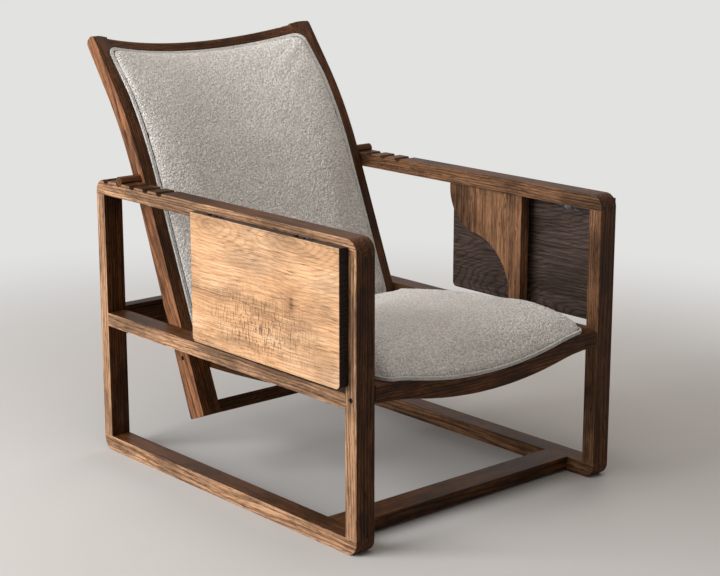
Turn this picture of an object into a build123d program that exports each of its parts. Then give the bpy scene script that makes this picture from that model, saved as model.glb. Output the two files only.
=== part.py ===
from build123d import *
import math
import os

# Reclining armchair in oak: two open side frames, a pivoted seat, a back whose pegs drop
# into notches in the arms, and on each side a hanging table leaf with a swinging bracket.
# Millimetres. X across, Y towards the back, Z up. The outline is worked out from the front
# face of the front legs and the floor, and the whole chair is centred on the floor at the end.

# Side frames
arm_height = 560.0
frame_outer_width = 650.0
frame_depth = 788.0
side_stock_width = 42.0
front_leg_thick = 29.0
rear_leg_thick = 27.0
arm_thick = 29.0
runner_thick = 30.0
corner_radius = 25.0
edge_round = 1.5
comb_layers = 5
mid_rail_top = 290.0
mid_rail_height = 27.0
rail_tenon_width = 14.0
rail_tenon_shoulder = 4.0
front_tenon_length = 9.0
rear_tenon_length = 16.0

# Cross members between the side frames
cross_board_width = 58.0
cross_board_thick = 25.0
stretcher_front = 68.0
cross_rail_top = 298.0
cross_tenon_length = 13.0
cross_tenon_thick = 14.0
cross_tenon_shoulder = 8.0

# Seat frame and its front pivot
seat_pivot_y = 14.5
seat_pivot_z = 281.0
pivot_pin_diameter = 9.5
pin_recess = 3.0
pin_grip = 24.0
running_clearance = 0.06
washer_thick = 2.0
washer_diameter = 20.0
seat_rail_front_gap = 1.0
seat_rail_thick = 27.0
seat_rail_end_top = 301.0
seat_rail_end_height = 32.0
seat_rail_middle_height = 30.0
seat_dish = 31.0
seat_dish_inset = 8.0
seat_dish_turn = 0.68
side_rail_thick = 25.0
side_rail_end_radius = 21.0
side_rail_front_height = 32.0
side_rail_belly = 12.0
side_rail_tenon = 12.0
side_rail_tenon_height = 18.0
rear_rail_thick = 22.0
rear_rail_height = 26.0
rear_rail_setback = 32.0
deck_thick = 3.0

# Back frame: the front face of each stile runs straight, bends and runs straight again
stile_bottom_y = 508.3
stile_bottom_z = 124.0
stile_lean = 22.3
stile_straight = 481.0
stile_bend_radius = 780.0
stile_bend_angle = 14.5
stile_top_straight = 119.0
stile_depth_bottom = 46.0
stile_depth_top = 29.0
stile_width = 42.0
stile_arm_gap = 6.0
stile_top_round = 11.0
stile_bottom_round = 4.0
back_pivot_along = 120.0
peg_along = 482.0
top_rail_height = 46.0
top_rail_depth = 26.0
top_rail_sag = 56.0
top_rail_chord = 550.0
top_rail_round = 7.0
scoop_rate = 0.0765
rail_tenon_depth = 16.0
bottom_rail_height = 25.0
bottom_rail_depth = 24.0
lumbar_rail_along = 170.0
lumbar_rail_height = 34.0
lumbar_rail_depth = 20.0

# Notches, and the pegs of the back that rest in one pair of them
peg_diameter = 20.0
peg_end_chamfer = 1.0
notch_pitch = 45.5
notches_behind = 1
notches_ahead = 3
notch_clearance = 0.3

# Table leaves, their hinges and brackets
leaf_front = 19.5
leaf_length = 422.0
leaf_height = 245.0
leaf_thick = 20.0
leaf_drop = 13.0
leaf_gap = 1.0
leaf_corner = 10.0
leaf_inner_round = 4.0
hinge_length = 52.0
hinge_front_inset = 101.5
hinge_rear_inset = 71.0
hinge_pin_drop = 6.5
hinge_barrel_diameter = 8.0
hinge_pin_diameter = 4.0
hinge_plate = 2.0
hinge_flap_drop = 24.0
hinge_frame_rise = 5.0
hinge_frame_drop = 8.0
hinge_screw_drop = 2.5
hinge_knuckle_gap = 0.4
hinge_recess_end = 1.5
hinge_recess_wall = 5.0
screw_length = 14.0
screw_shank_diameter = 3.0
screw_head_diameter = 6.0
screw_head_depth = 1.6
screws_per_plate = 3
screw_edge = 8.0
bracket_front = 216.0
bracket_thick = 22.0
bracket_reach = 203.0
bracket_foot = 31.0
bracket_gap = 1.5
bracket_belly_height = 94.0
bracket_waist_reach = 135.0
bracket_foot_height = 10.0
belly_reach_share = 0.74
belly_height_share = 0.34
waist_reach_share = 0.29
waist_height_share = 0.74
pintle_diameter = 8.0
pintle_length = 28.0

# Upholstery
soft_gap = 0.3
cushion_front = 5.0
cushion_rear = 530.0
cushion_half_width = 251.0
cushion_side_height = 54.0
cushion_crown = 6.0
cushion_side_bulge = 9.0
pad_bottom_along = 150.0
pad_top_below = 27.0
pad_lap = 17.0
pad_edge_thick = 8.0
pad_crown = 24.0
pad_lumbar_dish = 14.0
pad_roll = 75.0
pad_end_fullness = 0.3
lining_thick = 2.5
lining_side_gap = 1.0

bend_steps = 8
roll_steps = 4
overrun = 5.0

# Derived places
half_width = frame_outer_width / 2
frame_inner = half_width - side_stock_width
arm_underside = arm_height - arm_thick
mid_rail_bottom = mid_rail_top - mid_rail_height
layer_width = side_stock_width / comb_layers
stile_outer = frame_inner - stile_arm_gap
stile_inner = stile_outer - stile_width
side_rail_outer = stile_inner - washer_thick
side_rail_inner = side_rail_outer - side_rail_thick
lean = math.radians(stile_lean)
bend_length = stile_bend_radius * math.radians(stile_bend_angle)
stile_length = stile_straight + bend_length + stile_top_straight
seat_dish_half_width = frame_inner - washer_thick - seat_dish_inset
seat_dish_turn_x = seat_dish_half_width * seat_dish_turn
pad_side_width = stile_inner + pad_lap
leaf_top = arm_height - leaf_drop
hinge_centres = (leaf_front + hinge_front_inset, leaf_front + leaf_length - hinge_rear_inset)
leaf_inner_face = half_width + leaf_gap
leaf_outer_face = leaf_inner_face + leaf_thick
hinge_x = leaf_inner_face + leaf_thick / 2
hinge_z = leaf_top - hinge_pin_drop
barrel_radius = hinge_barrel_diameter / 2
bracket_axis_x = (half_width + frame_inner) / 2
bracket_axis_y = bracket_front + bracket_thick / 2
bracket_low = mid_rail_top + bracket_gap
bracket_high = arm_underside - bracket_gap


def cuboid(x0, x1, y0, y1, z0, z1):
    """A box from its two opposite corners."""
    size = (abs(x1 - x0), abs(y1 - y0), abs(z1 - z0))
    return Pos((x0 + x1) / 2, (y0 + y1) / 2, (z0 + z1) / 2) * Box(*size)


def rod_x(diameter, x0, x1, y, z):
    """A round bar along X."""
    return Pos((x0 + x1) / 2, y, z) * Rot(0, 90, 0) * Cylinder(diameter / 2, abs(x1 - x0))


def rod_y(diameter, x, y0, y1, z):
    """A round bar along Y."""
    return Pos(x, (y0 + y1) / 2, z) * Rot(90, 0, 0) * Cylinder(diameter / 2, abs(y1 - y0))


def rod_z(diameter, x, y, z0, z1):
    """A round bar along Z."""
    return Pos(x, y, (z0 + z1) / 2) * Cylinder(diameter / 2, abs(z1 - z0))


def side_profile(edges, x0, x1):
    """Extrude a closed outline drawn at X = 0 in the YZ plane from x0 to x1."""
    face = make_face(edges)
    return Pos(min(x0, x1), 0, 0) * extrude(face, abs(x1 - x0), dir=(1, 0, 0))


def mirrored(part):
    return mirror(part, about=Plane.YZ)


def solid_of(part):
    """The one solid of a boolean result."""
    return part.solids()[0]


# Side frame, made at the left side

def frame_block():
    """The side frame's rounded outline as one block across its full width."""
    block = cuboid(-half_width, -frame_inner, 0, frame_depth, 0, arm_height)
    block = fillet(block.edges().filter_by(Axis.X), corner_radius)
    side_faces = block.faces().filter_by(Axis.X)
    return fillet(side_faces.edges(), edge_round)


def tongue_slots(y0, y1, z0, z1):
    """The layers of a comb corner that belong to the upright."""
    slots = []
    for layer in range(1, comb_layers, 2):
        x0 = -half_width + layer * layer_width
        slots.append(cuboid(x0, x0 + layer_width, y0, y1, z0, z1))
    return slots


def corner_slots(z0, z1):
    """Comb slots at the front and rear end of a horizontal rail."""
    front = tongue_slots(-overrun, front_leg_thick, z0, z1)
    rear = tongue_slots(frame_depth - rear_leg_thick, frame_depth + overrun, z0, z1)
    return front + rear


def notch_places():
    """Y of each notch, from the rearmost to the foremost."""
    steps = range(notches_behind, -notches_ahead - 1, -1)
    return [peg_centre()[0] + step * notch_pitch for step in steps]


def arm_rail():
    band = cuboid(-half_width, -frame_inner, 0, frame_depth, arm_underside, arm_height)
    arm = frame_block() & band
    for slot in corner_slots(arm_underside - overrun, arm_height + overrun):
        arm -= slot
    notch_diameter = peg_diameter + 2 * notch_clearance
    for y in notch_places():
        arm -= rod_x(notch_diameter, -half_width - overrun, -frame_inner + overrun, y, peg_centre()[1])
    for centre in hinge_centres:
        arm -= hinge_plate_recess(centre)
    arm -= pintle_hole(arm_underside, arm_underside + pintle_length / 2)
    for one in frame_screws():
        arm -= one
    return solid_of(arm)


def runner():
    band = cuboid(-half_width, -frame_inner, 0, frame_depth, 0, runner_thick)
    rail = frame_block() & band
    for slot in corner_slots(-overrun, runner_thick + overrun):
        rail -= slot
    tenon_y = stretcher_front + cross_tenon_shoulder
    tenon_width = cross_board_width - 2 * cross_tenon_shoulder
    rail -= stretcher_tenon(tenon_y, tenon_width)
    return solid_of(rail)


def leg(y0, y1):
    """An upright with the comb tongues that pass through the arm and the runner."""
    block = frame_block()
    upright = block & cuboid(-half_width, -frame_inner, y0, y1, runner_thick, arm_underside)
    for tongue in tongue_slots(y0, y1, 0, arm_height):
        upright += block & tongue
    return upright


def front_leg():
    upright = leg(0, front_leg_thick)
    upright -= mid_rail_tenon(front_leg_thick - front_tenon_length, front_leg_thick)
    upright -= rod_x(
        pivot_pin_diameter, -half_width - overrun, -frame_inner + overrun, seat_pivot_y, seat_pivot_z)
    return solid_of(upright)


def rear_leg():
    inner_face = frame_depth - rear_leg_thick
    upright = leg(inner_face, frame_depth)
    upright -= mid_rail_tenon(inner_face, inner_face + rear_tenon_length)
    upright -= cross_rail_tenon()
    return solid_of(upright)


def mid_rail_tenon(y0, y1):
    middle = -(half_width + frame_inner) / 2
    return cuboid(
        middle - rail_tenon_width / 2, middle + rail_tenon_width / 2, y0, y1,
        mid_rail_bottom + rail_tenon_shoulder, mid_rail_top - rail_tenon_shoulder)


def mid_rail():
    inner_face = frame_depth - rear_leg_thick
    rail = cuboid(-half_width, -frame_inner, front_leg_thick, inner_face, mid_rail_bottom, mid_rail_top)
    rail += mid_rail_tenon(front_leg_thick - front_tenon_length, front_leg_thick)
    rail += mid_rail_tenon(inner_face, inner_face + rear_tenon_length)
    rail -= pintle_hole(mid_rail_top - pintle_length / 2, mid_rail_top)
    return solid_of(rail)


# Cross members

def stretcher_tenon(y0, width):
    """Left tenon of the floor stretcher, lying flat."""
    z1 = runner_thick - (cross_board_thick - cross_tenon_thick) / 2
    return cuboid(
        -frame_inner - cross_tenon_length, -frame_inner, y0, y0 + width, z1 - cross_tenon_thick, z1)


def front_stretcher():
    y1 = stretcher_front + cross_board_width
    z0 = runner_thick - cross_board_thick
    board = cuboid(-frame_inner, frame_inner, stretcher_front, y1, z0, runner_thick)
    tenon_width = cross_board_width - 2 * cross_tenon_shoulder
    tenon = stretcher_tenon(stretcher_front + cross_tenon_shoulder, tenon_width)
    return solid_of(board + tenon + mirrored(tenon))


def cross_rail_tenon():
    """Left tenon of the rear cross rail, standing on edge."""
    y0 = frame_depth - rear_leg_thick + (cross_board_thick - cross_tenon_thick) / 2
    z0 = cross_rail_top - cross_board_width + cross_tenon_shoulder
    z1 = cross_rail_top - cross_tenon_shoulder
    return cuboid(-frame_inner - cross_tenon_length, -frame_inner, y0, y0 + cross_tenon_thick, z0, z1)


def rear_cross_rail():
    y0 = frame_depth - rear_leg_thick
    z0 = cross_rail_top - cross_board_width
    board = cuboid(-frame_inner, frame_inner, y0, y0 + cross_board_thick, z0, cross_rail_top)
    tenon = cross_rail_tenon()
    return solid_of(board + tenon + mirrored(tenon))


# Seat frame

def ogee_height(x, end, dish):
    """Height of the dished curve: level at the ends, sunk by the dish at the middle."""
    far = abs(x)
    if far >= seat_dish_half_width:
        return end
    if far >= seat_dish_turn_x:
        left = (seat_dish_half_width - far) / (seat_dish_half_width - seat_dish_turn_x)
        return end - dish * (1 - seat_dish_turn) * left ** 2
    return end - dish + dish * seat_dish_turn * (far / seat_dish_turn_x) ** 2


def ogee_edges(y, width, end, dish):
    """The dished curve from -width to width as three tangent arcs at one Y."""
    turn = seat_dish_turn_x
    mid = (turn + width) / 2
    stations = [-width, -mid, -turn, 0, turn, mid, width]
    points = [(x, y, ogee_height(x, end, dish)) for x in stations]
    return [ThreePointArc(*points[i:i + 3]) for i in (0, 2, 4)], points[0], points[-1]


def seat_front_rail():
    """Dished front rail with its pivot bores and the sockets of the side rails."""
    reach = frame_inner - washer_thick
    y0 = seat_rail_front_gap
    bottom_end = seat_rail_end_top - seat_rail_end_height
    bottom_dish = seat_dish + seat_rail_middle_height - seat_rail_end_height
    width = seat_dish_half_width
    top, top_left, top_right = ogee_edges(y0, width, seat_rail_end_top, seat_dish)
    low, low_left, low_right = ogee_edges(y0, width, bottom_end, bottom_dish)
    left_top = (-reach, y0, seat_rail_end_top)
    left_low = (-reach, y0, bottom_end)
    right_top = (reach, y0, seat_rail_end_top)
    right_low = (reach, y0, bottom_end)
    outline = top + low + [
        Line(left_top, top_left), Line(top_right, right_top), Line(right_top, right_low),
        Line(right_low, low_right), Line(low_left, left_low), Line(left_low, left_top)]
    rail = extrude(make_face(outline), seat_rail_thick, dir=(0, 1, 0))
    ends = rail.edges().filter_by(Axis.Y).group_by(Axis.X)
    rail = fillet(ends[0] + ends[-1], (seat_rail_end_height - pivot_pin_diameter) / 3)
    bore = pivot_pin_diameter + 2 * running_clearance
    for side in (-1, 1):
        rail -= rod_x(bore, side * (reach - pin_grip), side * (reach + overrun), seat_pivot_y, seat_pivot_z)
    tenon = side_rail_tenon_block()
    return solid_of(rail - tenon - mirrored(tenon))


def side_rail_tenon_block():
    """Left stub tenon of a seat side rail, let into the back of the front rail."""
    y1 = seat_rail_front_gap + seat_rail_thick
    middle = -(side_rail_outer + side_rail_inner) / 2
    half = side_rail_thick / 4
    z_mid = seat_rail_end_top - seat_rail_end_height / 2
    half_height = side_rail_tenon_height / 2
    return cuboid(
        middle - half, middle + half, y1 - side_rail_tenon, y1, z_mid - half_height, z_mid + half_height)


def back_pivot():
    return back_point(back_pivot_along, stile_depth(back_pivot_along) / 2)


def peg_centre():
    return back_point(peg_along, stile_depth(peg_along) / 2)


def seat_line(y):
    """Level of the seat's upper edge: flat over the front rail, then falling to the rear pivot."""
    y0 = seat_rail_front_gap + seat_rail_thick
    end_y, end_z = back_pivot()
    rise = seat_rail_end_top - ogee_height(side_rail_inner, seat_rail_end_top, seat_dish)
    end_level = end_z + side_rail_end_radius + rise
    return seat_rail_end_top + max(y - y0, 0) * (end_level - seat_rail_end_top) / (end_y - y0)


def side_rail_top(y):
    """Top edge of the side rails, level with the dished deck where they meet it."""
    return ogee_height(side_rail_inner, seat_line(y), seat_dish)


def seat_side_rail():
    """Left side rail, bellied below and rounded about the rear pivot."""
    y0 = seat_rail_front_gap + seat_rail_thick
    end_y, end_z = back_pivot()
    r = side_rail_end_radius
    top_front = (0, y0, side_rail_top(y0))
    low_front = (0, y0, side_rail_top(y0) - side_rail_front_height)
    top_end = (0, end_y, end_z + r)
    low_end = (0, end_y, end_z - r)
    belly_y = (y0 + end_y) / 2
    belly_z = (low_front[2] + low_end[2]) / 2 - side_rail_belly
    outline = [
        Line(top_front, top_end), ThreePointArc(top_end, (0, end_y + r, end_z), low_end),
        ThreePointArc(low_end, (0, belly_y, belly_z), low_front), Line(low_front, top_front)]
    rail = side_profile(outline, -side_rail_outer, -side_rail_inner)
    bore = pivot_pin_diameter + 2 * running_clearance
    rail -= rod_x(bore, -side_rail_outer - overrun, -side_rail_outer + pin_grip, end_y, end_z)
    return solid_of(rail + side_rail_tenon_block())


def seat_rear_rail():
    """Dished rear rail between the side rails, just ahead of the rear pivot."""
    end_y = back_pivot()[0]
    y1 = end_y - rear_rail_setback
    y0 = y1 - rear_rail_thick
    end_top = seat_line(y1) - deck_thick
    width = side_rail_inner
    top, top_left, top_right = ogee_edges(y0, width, end_top, seat_dish)
    low, low_left, low_right = ogee_edges(y0, width, end_top - rear_rail_height, seat_dish)
    outline = top + low + [Line(top_left, low_left), Line(top_right, low_right)]
    return solid_of(extrude(make_face(outline), rear_rail_thick, dir=(0, 1, 0)))


def deck_section(y, top):
    """Section of the sprung deck at one Y, between the side rails."""
    width = side_rail_inner - soft_gap
    upper, upper_left, upper_right = ogee_edges(y, width, top, seat_dish)
    lower, lower_left, lower_right = ogee_edges(y, width, top - deck_thick, seat_dish)
    return make_face(upper + lower + [Line(upper_left, lower_left), Line(upper_right, lower_right)])


def seat_deck():
    """The webbing and canvas that carry the cushion, slung between the seat rails."""
    y0 = seat_rail_front_gap + seat_rail_thick + soft_gap
    y1 = back_pivot()[0] - rear_rail_setback
    front = deck_section(y0, seat_line(y0) + soft_gap)
    rear = deck_section(y1, seat_line(y1) + soft_gap)
    return solid_of(loft([front, rear], ruled=True))


# Back frame

def back_point(along, behind):
    """Y and Z of a point on the stile: a distance up its front face and behind that face."""
    y = stile_bottom_y + min(along, stile_straight) * math.sin(lean)
    z = stile_bottom_z + min(along, stile_straight) * math.cos(lean)
    angle = back_angle(along)
    if along > stile_straight:
        y += stile_bend_radius * (math.cos(lean) - math.cos(angle))
        z += stile_bend_radius * (math.sin(angle) - math.sin(lean))
    past = along - stile_straight - bend_length
    if past > 0:
        y += past * math.sin(angle)
        z += past * math.cos(angle)
    return y + behind * math.cos(angle), z - behind * math.sin(angle)


def back_angle(along):
    """Lean of the stile from the vertical at a distance up its front face."""
    bent = min(max(along - stile_straight, 0), bend_length)
    return lean + bent / stile_bend_radius


def stile_depth(along):
    share = along / stile_length
    return stile_depth_bottom + (stile_depth_top - stile_depth_bottom) * share


def at_back(along, behind):
    return (0, *back_point(along, behind))


def back_plane(along):
    """A plane square to the stile's front face, X across and its Y towards the rear."""
    angle = back_angle(along)
    y, z = back_point(along, 0)
    return Plane(origin=(0, y, z), x_dir=(1, 0, 0), z_dir=(0, math.sin(angle), math.cos(angle)))


def back_block(x0, x1, along0, along1, behind0, behind1):
    """A straight bar across the back, square to the stile at its lower end."""
    plane = back_plane(along0)
    size = (abs(x1 - x0), behind1 - behind0, along1 - along0)
    centre = ((x0 + x1) / 2, (behind0 + behind1) / 2, (along1 - along0) / 2)
    return plane * Pos(*centre) * Box(*size)


def hollow_radius():
    return (top_rail_chord ** 2 / 4 + top_rail_sag ** 2) / (2 * top_rail_sag)


def hollow(x):
    """Depth of the top rail's hollow at a distance from the middle of the back."""
    radius = hollow_radius()
    return max(math.sqrt(radius ** 2 - x ** 2) - radius + top_rail_sag, 0)


def faded(along):
    """How much of the top rail's hollow is lost at a distance up the stiles."""
    into_bend = min(max(stile_length - stile_top_straight - along, 0), bend_length)
    return scoop_rate * (stile_length - along) + into_bend ** 2 / (2 * stile_bend_radius)


def stile_hollow(x, along):
    """Depth of the hollow on a stile's face, at a distance from the middle of the back."""
    return max(hollow(x) - faded(along), 0)


def hollow_rim(along):
    """Distance from the middle at which the hollow runs out on the stiles, under the pad."""
    radius = hollow_radius()
    rise = radius - top_rail_sag + faded(along)
    reach = math.sqrt(max(radius ** 2 - rise ** 2, 0))
    return min(max(reach, stile_inner + soft_gap), pad_side_width - soft_gap)


def hollow_start(x):
    """Distance up the stile where the hollow begins, at a distance from the middle of the back."""
    run = hollow(x) / scoop_rate
    past = run - stile_top_straight
    if past <= 0:
        return stile_length - run
    root = math.sqrt(scoop_rate ** 2 + 2 * scoop_rate * past / stile_bend_radius)
    return stile_length - stile_top_straight - stile_bend_radius * (root - scoop_rate)


def scoop():
    """The wide round cutter that hollows the front of the top rail and fades down the stiles."""
    radius = hollow_radius()
    tilt = math.degrees(math.atan(scoop_rate))
    length = 2 * stile_length
    cutter = Pos(0, top_rail_sag - radius, 0) * Cylinder(radius, length)
    return back_plane(stile_length) * Rot(-tilt, 0, 0) * cutter


def back_stile():
    """Left stile: tapered, bent back towards its top, hollowed on the face with the top rail."""
    bend_start = stile_straight
    bend_mid = stile_straight + bend_length / 2
    bend_end = stile_straight + bend_length
    front = [at_back(s, 0) for s in (0, bend_start, bend_mid, bend_end, stile_length)]
    stations = (0, bend_start, bend_mid, bend_end, stile_length)
    rear = [at_back(s, stile_depth(s)) for s in stations]
    outline = [
        Line(front[0], front[1]), ThreePointArc(front[1], front[2], front[3]), Line(front[3], front[4]),
        Line(front[4], rear[4]), Line(rear[4], rear[3]), ThreePointArc(rear[3], rear[2], rear[1]),
        Line(rear[1], rear[0]), Line(rear[0], front[0])]
    stile = side_profile(outline, -stile_outer, -stile_inner)
    ends = stile.edges().filter_by(Axis.X).sort_by(Axis.Z)
    stile = fillet(ends[-2:], stile_top_round)
    ends = stile.edges().filter_by(Axis.X).sort_by(Axis.Z)
    stile = fillet(ends[:2], stile_bottom_round)
    y, z = back_pivot()
    stile -= rod_x(pivot_pin_diameter, -stile_outer - overrun, -stile_inner + overrun, y, z)
    y, z = peg_centre()
    stile -= rod_x(peg_diameter, -stile_outer - overrun, -stile_inner + overrun, y, z)
    stile -= scoop()
    for tenon in back_tenons():
        stile -= tenon
    return solid_of(stile)


def back_tenons():
    """Left tenons of the three rails across the back."""
    x0, x1 = -stile_inner - rail_tenon_depth, -stile_inner
    top_low = stile_length - top_rail_height + rail_tenon_shoulder
    top_high = stile_length - 2 * rail_tenon_shoulder
    edge = hollow(stile_inner)
    middle = edge + (stile_depth_top - edge) / 2
    thick = (stile_depth_top - edge) / 3
    low = back_block(
        x0, x1, rail_tenon_shoulder, bottom_rail_height - rail_tenon_shoulder,
        rail_tenon_shoulder, bottom_rail_depth - rail_tenon_shoulder)
    lumbar = back_block(
        x0, x1, lumbar_rail_along + rail_tenon_shoulder,
        lumbar_rail_along + lumbar_rail_height - rail_tenon_shoulder,
        lumbar_behind() + rail_tenon_shoulder, lumbar_behind() + lumbar_rail_depth - rail_tenon_shoulder)
    top = back_block(x0, x1, top_low, top_high, middle - thick / 2, middle + thick / 2)
    return low, lumbar, top


def lumbar_behind():
    """The lower pad rail sits back from the stiles' front face, clear of pad and lining."""
    return pad_dish(lumbar_rail_along + lumbar_rail_height) + lining_thick + soft_gap


def top_rail():
    """Dished top rail: a round hollow in front, the same bow behind, rounded above."""
    radius = hollow_radius()
    plane = back_plane(stile_length - top_rail_height)
    outer = Pos(0, top_rail_sag - radius, 0) * Cylinder(
        radius + top_rail_depth, top_rail_height, align=(Align.CENTER, Align.CENTER, Align.MIN))
    inner = Pos(0, top_rail_sag - radius, 0) * Cylinder(
        radius, top_rail_height, align=(Align.CENTER, Align.CENTER, Align.MIN))
    span = Pos(0, top_rail_sag / 2, 0) * Box(
        2 * stile_inner, 2 * (top_rail_sag + top_rail_depth), top_rail_height,
        align=(Align.CENTER, Align.CENTER, Align.MIN))
    rail = plane * ((outer - inner) & span)
    crest = rail.edges().filter_by(GeomType.CIRCLE).sort_by(Axis.Z)
    rail = fillet(crest[-2:], top_rail_round)
    tenon = back_tenons()[2]
    return solid_of(rail + tenon + mirrored(tenon))


def back_rail(along, height, behind, depth, tenon):
    rail = back_block(-stile_inner, stile_inner, along, along + height, behind, behind + depth)
    return solid_of(rail + tenon + mirrored(tenon))


def bottom_rail():
    return back_rail(0, bottom_rail_height, 0, bottom_rail_depth, back_tenons()[0])


def lumbar_rail():
    return back_rail(
        lumbar_rail_along, lumbar_rail_height, lumbar_behind(), lumbar_rail_depth, back_tenons()[1])


def notch_peg():
    """Left peg, glued through its stile and reaching across the arm."""
    y, z = peg_centre()
    peg = rod_x(peg_diameter, -half_width, -stile_inner, y, z)
    outer_rim = peg.edges().filter_by(GeomType.CIRCLE).sort_by(Axis.X)[0]
    return solid_of(chamfer(outer_rim, peg_end_chamfer))


# Pivot pins and washers

def front_pin(side):
    x0 = side * (half_width - pin_recess)
    x1 = side * (frame_inner - washer_thick - pin_grip + 2 * running_clearance)
    return rod_x(pivot_pin_diameter, x0, x1, seat_pivot_y, seat_pivot_z)


def rear_pin(side):
    y, z = back_pivot()
    x0 = side * (stile_outer - pin_recess)
    x1 = side * (side_rail_outer - pin_grip + 2 * running_clearance)
    return rod_x(pivot_pin_diameter, x0, x1, y, z)


def washer(x0, x1, y, z):
    ring = rod_x(washer_diameter, x0, x1, y, z)
    return ring - rod_x(pivot_pin_diameter, x0 - overrun, x1 + overrun, y, z)


def front_washers():
    play = running_clearance
    left = washer(-frame_inner, -frame_inner + washer_thick - play, seat_pivot_y, seat_pivot_z)
    return [left, mirrored(left)]


def rear_washers():
    y, z = back_pivot()
    play = running_clearance
    left = washer(-stile_inner, -stile_inner + washer_thick - play, y, z)
    return [left, mirrored(left)]


# Table leaf, hinges and bracket, made at the left side

def hinge_plate_recess(centre):
    """The shallow bed of a frame plate in the arm's outer face."""
    y0, y1 = centre - hinge_length / 2, centre + hinge_length / 2
    return cuboid(
        -half_width - overrun, -half_width + hinge_plate, y0, y1,
        hinge_z - hinge_frame_drop, hinge_z + hinge_frame_rise)


def hinge_recess(centre):
    """The pocket in the leaf's top edge that takes the barrel and lets the frame plate in."""
    half = hinge_length / 2 + hinge_recess_end
    z0 = hinge_z - barrel_radius - hinge_plate
    pocket = cuboid(
        -leaf_inner_face + overrun, -leaf_outer_face + hinge_recess_wall,
        centre - half, centre + half, z0, leaf_top + overrun)
    y0, y1 = centre - hinge_length / 2, centre + hinge_length / 2
    bed = cuboid(
        -leaf_inner_face + overrun, -leaf_inner_face - hinge_plate, y0, y1,
        hinge_z - barrel_radius - hinge_flap_drop, z0 + overrun)
    return pocket + bed


def table_leaf():
    z0 = leaf_top - leaf_height
    board = cuboid(-leaf_outer_face, -leaf_inner_face, leaf_front, leaf_front + leaf_length, z0, leaf_top)
    low = board.edges().filter_by(Axis.X).group_by(Axis.Z)[0]
    board = fillet(low, leaf_corner)
    inner_top = board.edges().filter_by(Axis.Y).group_by(Axis.Z)[-1].sort_by(Axis.X)[-1]
    board = fillet(inner_top, leaf_inner_round)
    outer_face = board.faces().sort_by(Axis.X)[0]
    board = fillet(outer_face.edges(), edge_round)
    for centre in hinge_centres:
        board -= hinge_recess(centre)
    for one in leaf_screws():
        board -= one
    return solid_of(board)


def barrel(y0, y1, bore):
    tube = rod_y(hinge_barrel_diameter, -hinge_x, y0, y1, hinge_z)
    return tube - rod_y(bore, -hinge_x, y0 - overrun, y1 + overrun, hinge_z)


def knuckle_spans(centre):
    """Y spans of the three knuckles: the middle one belongs to the leaf's plate."""
    quarter = hinge_length / 4
    gap = hinge_knuckle_gap / 2
    y0 = centre - hinge_length / 2
    return [
        (y0, y0 + quarter - gap), (y0 + quarter + gap, y0 + 3 * quarter - gap),
        (y0 + 3 * quarter + gap, y0 + hinge_length)]


def screw_places(centre):
    reach = hinge_length / 2 - screw_edge
    step = 2 * reach / (screws_per_plate - 1)
    return [centre - reach + i * step for i in range(screws_per_plate)]


def screw(face_x, y, z, inward):
    """A countersunk screw driven along X from a plate's face; inward is +1 or -1."""
    shank_end = face_x + inward * screw_length
    shank = rod_x(screw_shank_diameter, face_x, shank_end, y, z)
    head = Pos(face_x + inward * screw_head_depth / 2, y, z) * Rot(0, 90 * inward, 0) * Cone(
        screw_head_diameter / 2, screw_shank_diameter / 2, screw_head_depth)
    return solid_of(head + shank)


def frame_screws():
    """Screws of the two frame plates, in the arm's outer face."""
    z = hinge_z - hinge_screw_drop
    return [screw(-half_width, y, z, 1) for centre in hinge_centres for y in screw_places(centre)]


def leaf_screws():
    """Screws of the two leaf plates, in the leaf's inner face."""
    z = hinge_z - barrel_radius - hinge_flap_drop / 2
    return [screw(-leaf_inner_face, y, z, -1) for centre in hinge_centres for y in screw_places(centre)]


def hinge_frame_plate(centre):
    """Plate let into the arm, its web over the barrel and its two outer knuckles."""
    y0, y1 = centre - hinge_length / 2, centre + hinge_length / 2
    z0, z1 = hinge_z - hinge_frame_drop, hinge_z + hinge_frame_rise
    plate = cuboid(-half_width, -half_width + hinge_plate, y0, y1, z0, z1)
    web_top = hinge_z + barrel_radius
    spans = knuckle_spans(centre)
    for near, far in (spans[0], spans[2]):
        web = cuboid(-hinge_x, -half_width + hinge_plate, near, far, web_top - hinge_plate, web_top)
        web -= rod_y(hinge_pin_diameter, -hinge_x, near - overrun, far + overrun, hinge_z)
        plate += web + barrel(near, far, hinge_pin_diameter)
    for one in frame_screws():
        plate -= one
    return solid_of(plate)


def hinge_leaf_plate(centre):
    """Plate let into the leaf, cranked under the barrel, with the middle knuckle."""
    y0, y1 = centre - hinge_length / 2, centre + hinge_length / 2
    low = hinge_z - barrel_radius
    plate = cuboid(-leaf_inner_face - hinge_plate, -leaf_inner_face, y0, y1, low - hinge_flap_drop, low)
    near, far = knuckle_spans(centre)[1]
    plate += cuboid(-hinge_x, -leaf_inner_face, near, far, low - hinge_plate, low + hinge_plate / 2)
    bore = hinge_pin_diameter + 2 * running_clearance
    plate += rod_y(hinge_barrel_diameter, -hinge_x, near, far, hinge_z)
    plate -= rod_y(bore, -hinge_x, near - overrun, far + overrun, hinge_z)
    for one in leaf_screws():
        plate -= one
    return solid_of(plate)


def hinge_pin(centre):
    return rod_y(hinge_pin_diameter, -hinge_x, centre - hinge_length / 2, centre + hinge_length / 2, hinge_z)


def pintle_hole(z0, z1):
    return rod_z(pintle_diameter, -bracket_axis_x, bracket_axis_y, z0, z1)


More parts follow.
